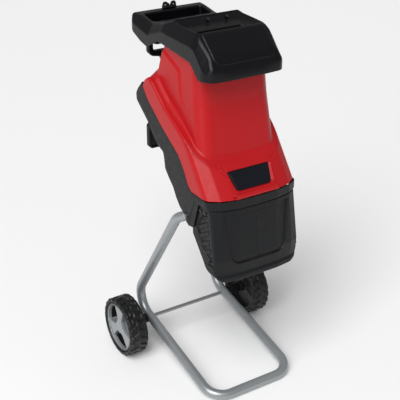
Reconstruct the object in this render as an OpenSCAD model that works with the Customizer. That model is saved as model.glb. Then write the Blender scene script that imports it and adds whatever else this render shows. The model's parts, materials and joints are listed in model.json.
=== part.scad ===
// Electric garden shredder: knife disc under a tall feed hopper, on a bent tube stand with two wheels.
// Millimetres. X is across, -Y is the front, Z is up. The origin is on the floor, in the middle of the
// overall width and depth. Body outlines are given as [y, z] points measured from the wheel axle.

/* [Overall] */
// Depth over the front tube and the rear handle
depth = 429; // [420:1:440]
// Distance from the middle of the depth back to the wheel axle
axle_y = 117; // [112:1:120]
// Height of the wheel axle
axle_z = 80; // [78:1:82]

/* [Stand] */
// Outside diameter of the stand tube
tube_d = 25; // [24:1:26]
// Wall of the stand tube
tube_wall = 1.5; // [1:0.5:2.5]
// Half the distance between the side tubes
tube_x = 119.3; // [118:0.1:120]
// Centre-line radius of the front corners
front_bend = 50; // [40:1:60]
// Centre-line radius of the rear bends
rear_bend = 52; // [50:1:54]
// Straight length of the struts above the rear bends
strut_len = 330; // [325:1:332]

/* [Wheels] */
// Outside radius of the tyre
wheel_r = 80; // [78:1:80]
// Width of the tyre
wheel_w = 52; // [48:1:52]
// Overall width over both wheels
track_w = 440; // [440:1:450]
// Diameter of the axle rod
axle_d = 10; // [8:1:10]

/* [Cutter] */
// Radius of the knife disc
disc_r = 88; // [80:1:88]
// Number of knives
knife_count = 2; // [2:1:3]
// Teeth on the motor pinion
pinion_teeth = 12; // [12:1:14]
// Teeth on the spindle gear
gear_teeth = 36; // [34:1:36]
// Gear module
gear_mod = 2; // [2:0.5:2]

/* [Body] */
// Half width of the lower body over the side walls
body_x = 124; // [122:1:126]
// Wall of the plastic shells
wall = 3; // [2.5:0.5:3.5]
// Travel of the start and stop buttons
button_travel = 3; // [2:0.5:3]

/* [Hidden] */
$fn = 48;

// Stand
front_y = -depth/2 + tube_d/2 - axle_y;
front_z = tube_d/2;
tube_tilt = atan((axle_z - front_z)/-front_y);
strut_angle = 123.7;
rear_turn = strut_angle - tube_tilt;
rear_corner_y = 85;
rear_corner = [rear_corner_y, axle_z + rear_corner_y*tan(tube_tilt)];
rear_tangent = rear_bend*tan(rear_turn/2);
rear_start = rear_corner - rear_tangent*[cos(tube_tilt), sin(tube_tilt)];
rear_centre = rear_start + rear_bend*[-sin(tube_tilt), cos(tube_tilt)];
strut_start = rear_corner + rear_tangent*[cos(strut_angle), sin(strut_angle)];
tube_lap = 0.8;
bend_slim = 0.05;
top_bend = 40;
top_roll = 228;
top_turn = 35;
top_end_len = 62;
frame_bolt_at = 50;
frame_bolt_d = 8;

// Wheels
wheel_out = track_w/2;
wheel_in = wheel_out - wheel_w;
rim_r = 68;
hub_r = 15;
hub_bore = axle_d + 0.2;
hub_in = wheel_in + 0.4;
hub_out = wheel_out - 24;
axle_half = hub_out + 9;
spacer_d = 26;

// Cutter frame: origin on the seam between the housings, tilted so that its z axis is the spindle
cut_y = -110;
cut_z = 649;
seam_tilt = 36.6;
centre_dist = gear_mod*(pinion_teeth + gear_teeth)/2;
spindle_y = -centre_dist/2;
motor_y = centre_dist/2;
disc_top = -12;
disc_t = 6;
gear_top = -35;
gear_w = 10;
bearing_od = 26;
bearing_w = 8;
shaft_d = 10;
running_gap = 0.1;
bulge_r = 55;
bulge_end = -138;

// Hopper hinge along the front lower edge
hinge_y = -310;
hinge_z = 552.5;
hinge_roll = 6.5;
hinge_pin_d = 4;
hinge_half = 58;
hinge_lugs = [-44, -18, 18, 44];

// Lock at the rear: its axis is square to the line from the hinge
lock_y = 22;
lock_z = 752;
lock_tilt = atan((lock_z - hinge_z)/(lock_y - hinge_y));

// Switch unit on the right side, in the cutter frame [y, z]
switch_y = [20, 120];
switch_z = [-46, -6];
start_at = [80, -22];
stop_at = [104, -22];
reset_at = [92, -40];
inlet_at = [45, -26];
pin_pitch = 19;
pin_d = 4.8;
pin_len = 19;
pin_root = 104;

// Tamper
tamper_y = 60;
tamper_t = 16;
shaft_half = 31;

// ---- Outlines ----

// Seam between the upper and the lower housing, from the rear to the front
seam = [[2, 740], [-27, 708.5], [-92, 661.5], [-165, 618], [-190, 588.5], [-207, 558.5], [-222, 547.5]];
seam_gap = 0.7;

function arc(c, r, from, to, steps) =
    [for (i = [0:steps]) c + r*[cos(from + (to - from)*i/steps), sin(from + (to - from)*i/steps)]];
function mirrored(half) = concat(half, [for (i = [len(half) - 1:-1:0]) [-half[i][0], half[i][1]]]);
function lowered(points, drop) = [for (p = points) [p[0], p[1] - drop]];

housing_side = concat(
    [[8, 746]], lowered(seam, seam_gap), [[-225, 545], [-330, 545], [-330, 524], [-242, 524]],
    [[-217, 458], [-207, 452], [-196, 455], [-190, 466], [-184, 473]],
    [[-166, 484], [-148, 503], [-135, 524], [-116, 540], [-98, 559], [-95, 578], [-90, 598]],
    [[-66, 606], [-42, 625], [-19, 651], [36, 692], [38, 711], [27, 727]]);
housing_inside = [
    [3.2, 780], [3.2, 736], [22.5, 722.5], [34.6, 709.6], [32.8, 694], [-21, 654.5], [-44.5, 627.6],
    [-67.5, 609], [-92.6, 600.7], [-98, 579], [-101, 560.5], [-118.5, 542], [-137.5, 526],
    [-150.5, 504.8], [-168, 486.8], [-186, 475.6], [-196, 466], [-216, 462], [-240, 500],
    [-250, 440], [-340, 440], [-340, 780]];
shoulder_side = concat(
    seam,
    [[-330, 547.5], [-316.5, 548], [-270, 606], [-233, 632], [-190, 664], [-143, 691], [-98, 717]],
    [[-40, 761], [-27, 768], [-8, 757]]);
shoulder_inside = [
    [-1.5, 735], [-10.5, 754], [-27, 764.3], [-38.5, 757.8], [-96.5, 713.6], [-141.4, 688],
    [-188.4, 661.2], [-231.2, 629.2], [-267.8, 603.6], [-312.6, 547.8], [-312.6, 500], [-1.5, 500]];
column_side = [
    [-26, 755], [-33, 787], [-43, 820], [-58, 866], [-206, 866], [-219, 794], [-222, 745], [-246, 612],
    [-235, 600], [-60, 700]];
column_inside = [
    [-29, 745], [-36, 786], [-46, 819.5], [-61, 866], [-61, 880], [-203, 880], [-203, 866], [-216, 794],
    [-219, 745], [-242.8, 612], [-235, 560], [-60, 660]];
chute_side = [
    [-242.6, 523.4], [-316.6, 523.4], [-330.8, 402], [-327, 364], [-331, 358], [-331, 345], [-306, 345],
    [-293, 353], [-279, 366], [-265, 385], [-242, 412], [-219.5, 438], [-218.5, 452]];
chute_inside = [
    [-245, 540], [-313.6, 540], [-313.6, 523], [-327.8, 402], [-324, 365], [-323, 354], [-310, 352],
    [-298, 340], [-270, 330], [-190, 400], [-222, 460]];
cap_side = [
    [-262, 814], [-247, 812], [-219, 811], [-186, 843], [-44, 855], [-20, 843], [8, 829], [40, 836],
    [97.5, 858], [97.5, 884], [88, 893], [60, 893], [8, 884], [-55, 899], [-93, 915], [-187, 908],
    [-200, 903], [-243, 866], [-262, 838], [-267, 820]];
cap_cavity = [
    [-260, 790], [-263.5, 820], [-258.6, 836], [-240.4, 863.6], [-198, 898.5], [-184, 886], [-132, 886],
    [-92, 909], [-54, 895.6], [5, 881], [5, 790]];
funnel_side = [
    [-96, 930], [-97, 911], [-128, 894], [-136, 889], [-176, 889], [-187, 902], [-188, 930]];

// Plan of the front: flat middle, slanted corners
function front_plan(inset) = mirrored([
    [body_x - inset, 60], [body_x - inset, -283], [118 - inset, -289 + inset*0.6],
    [95 - inset*0.4, -304 + inset*0.8], [52, -316 + inset], [20, -316.6 + inset]]);
// The same corners on the slope of the red front, measured square to the slope
slope_angle = 37.2;
function slope_plan(inset) = mirrored([
    [body_x - inset, 300], [body_x - inset, 26.3], [118 - inset, 21.9 + inset*0.6],
    [95 - inset*0.4, 10 + inset*0.8], [52, 0.4 + inset], [20, inset]]);
chute_lean = 12;
chute_corner_r = 32;
chute_bottom_x = 119;
chute_bottom_z = 345;
function chute_front(inset) = mirrored(concat(
    [[118 - inset, 560], [118 - inset, 523]],
    arc([chute_bottom_x - inset - chute_corner_r, chute_bottom_z + chute_corner_r], chute_corner_r, 0, -90, 6)));
function cap_front(inset) = mirrored([
    [105 - inset, 780], [105.5 - inset, 850], [104 - inset, 866], [94 - inset, 900], [91 - inset, 930]]);
function cap_plan() = mirrored(concat(
    [[40, -267], [88, -263], [100, -254], [106.5, -236]], arc([78, depth/2 - axle_y - 28], 28, 0, 90, 6)));

// ---- Helpers ----

module at_axle() translate([0, axle_y, 0]) children();
module side_slab(points, half) rotate([90, 0, 90]) translate([0, 0, -half]) linear_extrude(2*half) polygon(points);
module front_slab(points) translate([0, 150, 0]) rotate([90, 0, 0]) linear_extrude(500) polygon(points);
module plan_slab(points) translate([0, 0, 200]) linear_extrude(800) polygon(points);
module at_cutter() at_axle() translate([0, cut_y, cut_z]) rotate([seam_tilt, 0, 0]) children();
module at_hinge() at_axle() translate([0, hinge_y, hinge_z]) children();
module at_lock() at_axle() translate([0, lock_y, lock_z]) rotate([lock_tilt, 0, 0]) children();
module along_x(from, len, d) translate([from, 0, 0]) rotate([0, 90, 0]) cylinder(d = d, h = len);
module both_sides() for (side = [0, 1]) mirror([side, 0, 0]) children();
module ring(od, id, h) difference() {
    cylinder(d = od, h = h);
    translate([0, 0, -1]) cylinder(d = id, h = h + 2);
}
// Hexagon head or nut, standing on z = 0
module hexagon(across_flats, h) cylinder(d = across_flats/cos(30), h = h, $fn = 6);
// Screw with a round head, shank pointing down
module screw(head_d, head_h, shank_d, len) {
    cylinder(d = head_d, h = head_h);
    translate([0, 0, -len]) cylinder(d = shank_d, h = len);
}

// ---- Stand ----

// Straight stretch; its ends lap over the bends, whose wall is thinner by bend_slim on both faces
module tube_run(len) translate([0, 0, -tube_lap]) ring(tube_d, tube_d - 2*tube_wall, len + 2*tube_lap);
module tube_bend(radius, turn) rotate_extrude(angle = turn) translate([radius, 0]) difference() {
    circle(d = tube_d - 2*bend_slim);
    circle(d = tube_d - 2*tube_wall + 2*bend_slim);
}
// Frame at the top of a strut, z along the strut and x towards the inside of the last bend
module at_strut_top() translate([tube_x, strut_start[0], strut_start[1]]) rotate([strut_angle - 90, 0, 0])
    translate([0, 0, strut_len]) rotate([0, 0, top_roll]) children();
// Frame on the tube end that is bolted to the housing, z along the tube
module at_tube_end() at_strut_top() translate([top_bend*(1 - cos(top_turn)), 0, top_bend*sin(top_turn)])
    rotate([0, top_turn, 0]) children();
// Bolt position on the right: the point of the tube end at frame_bolt_at, worked out for the cross bolt
function turn_x(p, a) = [p[0], p[1]*cos(a) - p[2]*sin(a), p[1]*sin(a) + p[2]*cos(a)];
function turn_y(p, a) = [p[0]*cos(a) + p[2]*sin(a), p[1], -p[0]*sin(a) + p[2]*cos(a)];
function turn_z(p, a) = [p[0]*cos(a) - p[1]*sin(a), p[0]*sin(a) + p[1]*cos(a), p[2]];
bend_exit = [top_bend*(1 - cos(top_turn)), 0, top_bend*sin(top_turn)];
bolt_local = bend_exit + turn_y([0, 0, frame_bolt_at], top_turn);
bolt_point = [tube_x, strut_start[0], strut_start[1]]
    + turn_x([0, 0, strut_len] + turn_z(bolt_local, top_roll), strut_angle - 90);
module at_frame_bolt() translate([0, bolt_point[1], bolt_point[2]]) children();

module stand_side() {
    translate([tube_x - front_bend, front_y, front_z]) rotate([tube_tilt, 0, 0]) {
        translate([0, front_bend, 0]) rotate([0, 0, -90]) tube_bend(front_bend, 90);
        translate([front_bend, front_bend, 0]) rotate([-90, 0, 0])
            tube_run((rear_start[0] - front_y)/cos(tube_tilt) - front_bend);
    }
    translate([tube_x, rear_centre[0], rear_centre[1]]) rotate([90, 0, 90]) rotate([0, 0, tube_tilt - 90])
        tube_bend(rear_bend, rear_turn);
    translate([tube_x, strut_start[0], strut_start[1]]) rotate([strut_angle - 90, 0, 0]) tube_run(strut_len);
    at_strut_top() translate([top_bend, 0, 0]) rotate([90, 0, 0]) rotate([0, 0, 180 - top_turn])
        tube_bend(top_bend, top_turn);
    at_tube_end() tube_run(top_end_len);
}

module frame_tube() color("silver") at_axle() difference() {
    union() {
        both_sides() stand_side();
        translate([-(tube_x - front_bend), front_y, front_z]) rotate([0, 90, 0])
            tube_run(2*(tube_x - front_bend));
    }
    translate([0, 0, axle_z]) along_x(-tube_x - tube_d, 2*(tube_x + tube_d), axle_d + 0.3);
    at_frame_bolt() along_x(-body_x, 2*body_x, frame_bolt_d + 0.4);
}

module wheel_axle() color("dimgray") at_axle() translate([0, 0, axle_z]) along_x(-axle_half, 2*axle_half, axle_d);

module axle_spacers() color("black") at_axle() both_sides() {
    spacer_in = tube_x + tube_d/2 + 0.3;
    translate([spacer_in, 0, axle_z]) rotate([0, 90, 0]) ring(spacer_d, axle_d + 0.4, wheel_in - spacer_in);
}

module axle_nuts() color("gainsboro") at_axle() both_sides() translate([hub_out + 0.4, 0, axle_z]) {
    rotate([0, 90, 0]) difference() {
        union() {
            cylinder(d = 20, h = 1.6);
            hexagon(16, 8);
        }
        translate([0, 0, -1]) cylinder(d = axle_d, h = 12);
    }
}

// ---- Wheels ----

module wheel_place(side) at_axle() translate([0, 0, axle_z]) mirror([side < 0 ? 1 : 0, 0, 0]) children();

module wheel_rim(side) color([0.16, 0.16, 0.17]) wheel_place(side) difference() {
    union() {
        rotate([0, 90, 0]) rotate_extrude() polygon([
            [61, wheel_in + 4], [rim_r, wheel_in + 2], [rim_r, wheel_out - 2], [64, wheel_out - 2],
            [61, wheel_out - 8]]);
        along_x(hub_in, hub_out - hub_in, 2*hub_r);
        along_x(wheel_out - 34, 3, 2*62);
        for (spoke = [0:2]) rotate([90 + 120*spoke, 0, 0])
            translate([wheel_in + 12, -9, hub_r - 4]) cube([20, 18, 63 - hub_r + 4]);
    }
    along_x(hub_in - 1, wheel_w, hub_bore);
}

module tyre(side) color([0.08, 0.08, 0.08]) wheel_place(side) rotate([0, 90, 0]) rotate_extrude($fn = 72) polygon([
    [rim_r + 0.1, wheel_in + 1.5], [wheel_r - 6, wheel_in], [wheel_r - 1.6, wheel_in + 4], [wheel_r, wheel_in + 10],
    [wheel_r, wheel_out - 10], [wheel_r - 1.6, wheel_out - 4], [wheel_r - 6, wheel_out],
    [rim_r + 0.1, wheel_out - 1.5]]);

module wheel_cover(side) color([0.72, 0.73, 0.75]) wheel_place(side) {
    cover_in = wheel_out - 13;
    translate([cover_in, 0, 0]) rotate([0, 90, 0]) {
        translate([0, 0, 7]) ring(121, 100, 4);
        ring(121, 112, 8);
        cylinder(d = 44, h = 7);
    }
    for (spoke = [0:2]) rotate([90 + 120*spoke, 0, 0])
        translate([cover_in + 1, -12, 18]) cube([8, 24, 40]);
}

module wheel_rim_left() wheel_rim(-1);
module wheel_rim_right() wheel_rim(1);
module tyre_left() tyre(-1);
module tyre_right() tyre(1);
module wheel_cover_left() wheel_cover(-1);
module wheel_cover_right() wheel_cover(1);

// ---- Lower body ----

module switch_cut(clear) translate([90, switch_y[0] - clear, switch_z[0] - clear])
    cube([50, switch_y[1] - switch_y[0] + 2*clear, switch_z[1] - switch_z[0] + 2*clear]);

module motor_housing() color([0.13, 0.13, 0.14]) difference() {
    union() {
        at_axle() difference() {
            intersection() {
                side_slab(housing_side, body_x);
                plan_slab(front_plan(0));
            }
            intersection() {
                side_slab(housing_inside, body_x - wall);
                plan_slab(front_plan(wall));
            }
        }
        at_rotor(bulge_end) cylinder(r = bulge_r, h = -bulge_end - 50, $fn = 72);
        at_rotor(bulge_end) cover_ears(18);
        at_cutter() translate([-58, -34, -60.5]) cube([116, 64, 12]);
        at_cutter() translate([43, 128, -50]) cube([24, 10, 25.9]);
        at_lock() translate([0, 0, -24]) cylinder(d = 24, h = 23);
        at_axle() both_sides() at_frame_bolt() along_x(bolt_point[0] + 15, body_x - bolt_point[0] - 16, 20);
        at_axle() both_sides() chute_tab();
        for (x = hinge_lugs) at_hinge() hinge_lug(x);
        for (a = boss_angles) at_boss(a, -55.5) cylinder(d = 10, h = 27.1);
    }
    at_rotor(bulge_end - 1) cylinder(r = bulge_r - wall, h = -bulge_end - 45, $fn = 72);
    at_rotor(bulge_end - 1) cover_screw_places() cylinder(d = 3.8, h = 16);
    at_cutter() translate([-55, -40, -57.5]) cube([110, 64, 20]);
    at_cutter() translate([-55, 23, -54]) cube([110, 30, 14]);
    at_cutter() switch_cut(0.2);
    at_lock() translate([-30, -40, -0.8]) cube([60, 66, 40]);
    at_lock() translate([0, 0, -30]) cylinder(d = 9.6, h = 40);
    at_lock() translate([0, 0, -17]) hexagon(13.2, 30);
    at_axle() at_frame_bolt() along_x(-140, 280, frame_bolt_d + 0.4);
    at_axle() both_sides() at_tube_end() translate([0, 0, 4]) cylinder(d = tube_d + 2, h = 90);
    at_hinge() along_x(-hinge_half, 2*hinge_half, hinge_pin_d);
    for (a = boss_angles) at_boss(a, -48) cylinder(d = 4, h = 30);
    at_axle() both_sides() for (y = chute_screw_y) translate([0, y, chute_screw_z]) along_x(100, 16, 4);
}

// Tab inside the front of the housing that the chute is screwed to
module chute_tab() {
    translate([108, -284, 503]) cube([5.2, 40, 29]);
    translate([108, -284, 524.5]) cube([14, 40, 7.5]);
}

// Screw bosses on the floor of the housing that carry the cutting chamber, round the spindle
boss_angles = [10, 41, 139, 170];
module at_boss(a, z) at_spindle(z) rotate([0, 0, a]) translate([a > 30 && a < 150 ? 116 : 107, 0, 0]) children();

// Lug that carries the hinge pin, reaching up from inside the front band
module hinge_lug(x) translate([x - 3, 0, 0]) {
    rotate([0, 90, 0]) cylinder(d = 8, h = 6);
    rotate([45, 0, 0]) translate([0, -2.4, -14]) cube([6, 4.8, 11]);
    translate([0, -5, -22]) cube([6, 16, 12.6]);
}

// Ears round the motor bulge for the four cover screws
cover_ear_r = 57.5;
module cover_screw_places() for (a = [45:90:315]) rotate([0, 0, a]) translate([cover_ear_r, 0, 0]) children();
module cover_ears(h) cover_screw_places() cylinder(d = 11, h = h);

module motor_cover() color([0.13, 0.13, 0.14]) at_rotor(bulge_end - 14.3) difference() {
    union() {
        difference() {
            union() {
                cylinder(r = bulge_r, h = 14, $fn = 72);
                cylinder(r = bulge_r - wall - 0.2, h = 17, $fn = 72);
            }
            translate([0, 0, 3]) cylinder(r = bulge_r - 2*wall, h = 20, $fn = 72);
        }
        cover_ears(14);
        cylinder(d = 34, h = 12.7);
    }
    for (slot = [-4:4]) if (abs(slot) > 1) translate([slot*9 - 2, -22, -1]) cube([4, 44, 6]);
    translate([0, 0, 4.7]) cylinder(d = bearing_od, h = 20);
    translate([0, 0, 3]) cylinder(d = 16, h = 10);
    cover_screw_places() translate([0, 0, -1]) cylinder(d = 4.2, h = 20);
}

module motor_cover_screws() color("silver") at_rotor(bulge_end - 14.5) cover_screw_places()
    rotate([180, 0, 0]) screw(8, 2.5, 3.6, 26);

module discharge_chute() color([0.15, 0.15, 0.16]) at_axle() difference() {
    union() {
        intersection() {
            side_slab(chute_side, body_x);
            front_slab(chute_front(0));
            chute_plan(0);
        }
        both_sides() translate([116.5, -310, 382]) cube([5, 26, 6]);
    }
    intersection() {
        side_slab(chute_inside, body_x);
        front_slab(chute_front(wall));
        chute_plan(wall);
    }
    for (y = chute_screw_y) translate([0, y, chute_screw_z]) along_x(-140, 280, 4.4);
}
// The front corners lean forward towards the bottom
module chute_plan(inset) translate([0, -316.6, 523.4]) rotate([-chute_lean, 0, 0]) translate([0, 316.6, -523.4])
    plan_slab(front_plan(inset));
chute_screw_y = [-254, -274];
chute_screw_z = 512;

module chute_screws() color("silver") at_axle() both_sides() for (y = chute_screw_y)
    translate([118.2, y, chute_screw_z]) rotate([0, 90, 0]) screw(7.5, 2, 4, 12);

module frame_bolts() color("silver") at_axle() both_sides() at_frame_bolt() {
    along_x(body_x + 0.1, 5.5, 15);
    along_x(bolt_point[0] - 27, body_x + 1 - bolt_point[0] + 27, frame_bolt_d);
}

module frame_nuts() color("silver") at_axle() both_sides() at_frame_bolt()
    translate([bolt_point[0] - 25, 0, 0]) rotate([0, 90, 0]) difference() {
        hexagon(13, 7);
        translate([0, 0, -1]) cylinder(d = frame_bolt_d, h = 9);
    }

// ---- Hopper ----

module slope_prism(inset) translate([0, -316.5, 548]) rotate([-slope_angle, 0, 0]) translate([0, 0, -80])
    linear_extrude(520) polygon(slope_plan(inset));
module column_front(half_top, half_low) front_slab([
    [-half_low, 560], [half_low, 560], [half_top, 880], [-half_top, 880]]);
// Frame on the red front slope: z up the slope, y into the body
module at_slope() at_axle() translate([0, -316.5, 548]) rotate([-slope_angle, 0, 0]) children();
module badge_prism(grow, from, depth_y) at_slope() translate([0, from + depth_y, 0]) rotate([90, 0, 0])
    linear_extrude(depth_y) polygon([
        [-57 - grow, 69 + grow], [-49 - grow, 28 - grow], [-43, 21 - grow], [43, 21 - grow],
        [49 + grow, 28 - grow], [57 + grow, 69 + grow]]);

module upper_housing() color([0.85, 0.08, 0.07]) difference() {
    union() {
        at_axle() difference() {
            union() {
                intersection() {
                    side_slab(shoulder_side, body_x);
                    slope_prism(0);
                }
                intersection() {
                    side_slab(column_side, body_x);
                    column_front(92, 109);
                }
            }
            intersection() {
                side_slab(shoulder_inside, body_x - wall);
                slope_prism(wall);
            }
            intersection() {
                side_slab(column_inside, body_x);
                column_front(92 - wall, 109 - wall);
            }
        }
        badge_prism(3, 0.5, 11);
        at_hinge() along_x(-hinge_half, 2*hinge_half, 2*hinge_roll);
        at_lock() translate([-28, -30, 0]) cube([56, 48, 6]);
        at_cutter() translate([50, 126, -2]) cube([10, 18, 14]);
    }
    badge_prism(0.4, -3, 11.7);
    at_hinge() along_x(-hinge_half - 1, 2*hinge_half + 2, hinge_pin_d + 0.16);
    for (x = hinge_lugs) at_hinge() translate([x - 3.5, 0, 0]) {
        rotate([0, 90, 0]) cylinder(r = 4.5, h = 7);
        translate([0, -4.8, -14]) cube([7, 20, 14]);
    }
    at_lock() translate([0, 0, -1]) cylinder(d = 10, h = 9);
    at_axle() translate([49, 2.4, 728]) cube([12, 10, 11]);
}

module hinge_pin() color("silver") at_hinge() along_x(-hinge_half + 0.5, 2*hinge_half - 1, hinge_pin_d);

module badge_plate() color([0.08, 0.08, 0.09]) badge_prism(0, 6.4, 2);

module hopper_cap() color([0.12, 0.12, 0.13]) difference() {
    at_axle() intersection() {
        side_slab(cap_side, 120);
        front_slab(cap_front(0));
        plan_slab(cap_plan());
    }
    at_axle() intersection() {
        side_slab(cap_cavity, 120);
        front_slab(cap_front(wall));
        translate([-120, -262, 780]) cube([240, 300, 150]);
    }
    at_axle() both_sides() translate([84, 4, 780]) cube([18.4, 68, 98]);
    at_axle() translate([-90, 69, 780]) cube([180, 25, 106]);
    at_axle() translate([-80, 12, 780]) cube([160, 53, 150]);
    at_axle() side_slab(funnel_side, 84);
    at_axle() feed_slot(65, 17, 870, 40);
    for (x = cap_screw_x) at_cap_screw(x) translate([0, 0, -20]) cylinder(d = 4.4, h = 40);
}

// Slot with round ends, the mouth of the feed channel
feed_y = -156;
module feed_slot(half, r, z, h) translate([0, feed_y, z]) {
    for (side = [-1, 1]) translate([side*(half - r), 0, 0]) cylinder(r = r, h = h);
    translate([-(half - r), -r, 0]) cube([2*(half - r), 2*r, h]);
}

cap_screw_x = [-5, 47];
module at_cap_screw(x) at_axle() translate([x, -105, 906.8]) rotate([28.7, 0, 0]) children();
module cap_screws() color("silver") for (x = cap_screw_x) at_cap_screw(x) screw(8.5, 1.5, 4.2, 12);

module feed_channel() color([0.2, 0.2, 0.21]) difference() {
    intersection() {
        at_axle() translate([0, 0, 600]) difference() {
            translate([-71, feed_y - 21, 0]) cube([142, 42, 285.6]);
            translate([-68, feed_y - 18, -1]) cube([136, 36, 300]);
        }
        at_cutter() translate([-150, -200, 1.8]) cube([300, 300, 400]);
    }
}

module cable_hook() color([0.14, 0.14, 0.15]) at_axle() translate([0, 80, 893.1]) {
    translate([-18, -7, 0]) cube([36, 14, 6]);
    for (side = [-1, 1]) translate([side*12, 0, 5]) rotate([0, side*24, 0]) {
        cylinder(d = 8, h = 12);
        translate([0, 0, 12]) sphere(d = 11);
    }
}

// ---- Lock ----

module lock_knob() color([0.11, 0.11, 0.12]) at_lock() translate([0, 0, 6.4]) difference() {
    union() {
        cylinder(r = 17, h = 20);
        for (lobe = [0:4]) rotate([0, 0, 72*lobe]) translate([15.5, 0, 5]) cylinder(r = 6, h = 15);
    }
    translate([0, 0, -1]) cylinder(d = 8, h = 14);
}

module lock_stud() color("silver") at_lock() translate([0, 0, -14]) cylinder(d = 8, h = 33);

module lock_nut() color("gold") at_lock() translate([0, 0, -15.5]) difference() {
    hexagon(13, 7);
    translate([0, 0, -1]) cylinder(d = 9.4, h = 9);
}

// ---- Tamper ----

module tamper() color([0.12, 0.12, 0.13]) at_axle() translate([0, tamper_y + tamper_t, 0]) rotate([90, 0, 0])
    linear_extrude(tamper_t) difference() {
        union() {
            polygon(mirrored([[76, 548], [76, 604], [66, 614], [shaft_half + 6, 620], [shaft_half, 634],
                [shaft_half, 768], [shaft_half + 6, 780], [60, 784], [71, 795], [71, 832], [61, 842]]));
            polygon([[-68, 540], [68, 540], [76, 548], [-76, 548]]);
        }
        polygon(mirrored([[52, 797], [57, 802], [57, 824], [52, 829]]));
    }

// Spring clip behind the housing that grips the tamper shaft
module tamper_clip() color([0.14, 0.14, 0.15]) at_axle() translate([0, 0, 694]) {
    both_sides() translate([shaft_half + 0.4, tamper_y - 4, 0]) cube([4, 20, 16]);
    translate([-shaft_half - 4.4, tamper_y - 6, 0]) cube([2*(shaft_half + 4.4), 5, 16]);
    translate([-20, 38.4, 0]) cube([40, tamper_y - 6 - 38.4 + 1, 16]);
}

// ---- Switch unit and interlock ----

module on_side(at) translate([0, at[0], at[1]]) children();

module switch_housing() color([0.1, 0.1, 0.11]) at_cutter() difference() {
    union() {
        translate([96, switch_y[0], switch_z[0]])
            cube([31, switch_y[1] - switch_y[0], switch_z[1] - switch_z[0]]);
        on_side(inlet_at) along_x(100, 30, 34);
    }
    on_side(inlet_at) along_x(pin_root, 40, 29);
    on_side(start_at) along_x(118, 20, 18.6);
    on_side(stop_at) along_x(118, 20, 18.6);
    on_side(reset_at) along_x(118, 20, 8.6);
    for (side = [-1, 1]) on_side(inlet_at) translate([0, side*pin_pitch/2, 0]) along_x(90, 20, 6.2);
}

module push_button(at, d, shade) color(shade) at_cutter() on_side(at) along_x(121.5, 9, d);
module start_button() push_button(start_at, 18, [0.1, 0.55, 0.2]);
module stop_button() push_button(stop_at, 18, [0.8, 0.08, 0.08]);
module reset_button() push_button(reset_at, 8, [0.2, 0.2, 0.2]);

module inlet_pins() color("silver") at_cutter() on_side(inlet_at) for (side = [-1, 1])
    translate([0, side*pin_pitch/2, 0]) {
        along_x(pin_root - 6, 6, 6.2);
        along_x(pin_root, pin_len, pin_d);
    }

module interlock_switch() color([0.1, 0.1, 0.1]) at_cutter() translate([55, 133, 0]) difference() {
    translate([-12, -5, -24]) cube([24, 10, 16]);
    translate([0, 0, -16]) cylinder(d = 4.2, h = 20);
}
module interlock_plunger() color("red") at_cutter() translate([55, 133, -13]) cylinder(d = 4, h = 10.2);

// ---- Cutting unit ----

module at_spindle(z) at_cutter() translate([0, spindle_y, z]) children();
module at_rotor(z) at_cutter() translate([0, motor_y, z]) children();

chamber_r = 94;
chamber_low = -28;
chamber_high = -2;
plate_screw_r = 90;

module cutting_chamber() color([0.6, 0.61, 0.62]) difference() {
    union() {
        at_spindle(chamber_low) cylinder(r = chamber_r + 3, h = chamber_high - chamber_low, $fn = 72);
        at_spindle(-34) cylinder(r = 18, h = 8);
        for (a = boss_angles) at_boss(a, chamber_low) {
            cylinder(d = 12, h = 4);
            translate([-22, -6, 0]) cube([22, 12, 4]);
        }
    }
    at_spindle(chamber_low + 4) cylinder(r = chamber_r, h = 40, $fn = 72);
    at_spindle(-40) cylinder(d = 17, h = 20);
    at_spindle(-35) cylinder(d = bearing_od, h = bearing_w + 1.5);
    at_spindle(chamber_low + 4) translate([-70, -120, 0]) cube([140, 60, 60]);
    for (a = boss_angles) at_boss(a, -40) cylinder(d = 4.4, h = 30);
}

module counter_plate() color([0.5, 0.51, 0.53]) difference() {
    at_spindle(chamber_high + 0.1) intersection() {
        cylinder(r = chamber_r + 2.5, h = 3, $fn = 72);
        translate([-110, -88, -1]) cube([220, 200, 10]);
    }
    at_cutter() translate([14, -74, -20]) cube([52, 36, 60]);
    for (a = plate_screw_angles) at_spindle(-10) rotate([0, 0, a]) translate([chamber_r + 0.2 - 4, 0, 0])
        cylinder(d = 4.4, h = 20);
}
plate_screw_angles = [10, 90, 170];

module counter_plate_screws() color("silver") for (a = plate_screw_angles) at_spindle(chamber_high + 3.2)
    rotate([0, 0, a]) translate([chamber_r + 0.2 - 4, 0, 0]) cylinder(d = 8, h = 2);

module cutter_disc() color([0.62, 0.63, 0.65]) at_spindle(disc_top - disc_t) difference() {
    cylinder(r = disc_r, h = disc_t, $fn = 96);
    translate([0, 0, -1]) cylinder(d = shaft_d, h = disc_t + 2);
    for (k = [0:knife_count - 1]) rotate([0, 0, 360*k/knife_count]) {
        translate([30, 14, -1]) cube([48, 12, disc_t + 2]);
        for (x = [40, 66]) translate([x, 0, -1]) cylinder(d = 6, h = disc_t + 2);
    }
}

module knives() color([0.75, 0.76, 0.78]) at_spindle(disc_top) for (k = [0:knife_count - 1])
    rotate([0, 0, 360*k/knife_count]) difference() {
        translate([28, -13, 0]) cube([52, 28, 4]);
        translate([20, 15, 0]) rotate([45, 0, 0]) cube([70, 8, 8]);
        for (x = [40, 66]) translate([x, 0, -1]) cylinder(d = 6, h = 6);
    }

module knife_screws() color("dimgray") at_spindle(disc_top + 4) for (k = [0:knife_count - 1])
    rotate([0, 0, 360*k/knife_count]) for (x = [40, 66]) translate([x, 0, 0]) screw(11, 2.5, 6, 10);

module disc_nut() color("dimgray") at_spindle(disc_top) difference() {
    union() {
        cylinder(d = 26, h = 1.8);
        hexagon(17, 7);
    }
    translate([0, 0, -1]) cylinder(d = shaft_d, h = 10);
}

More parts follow.
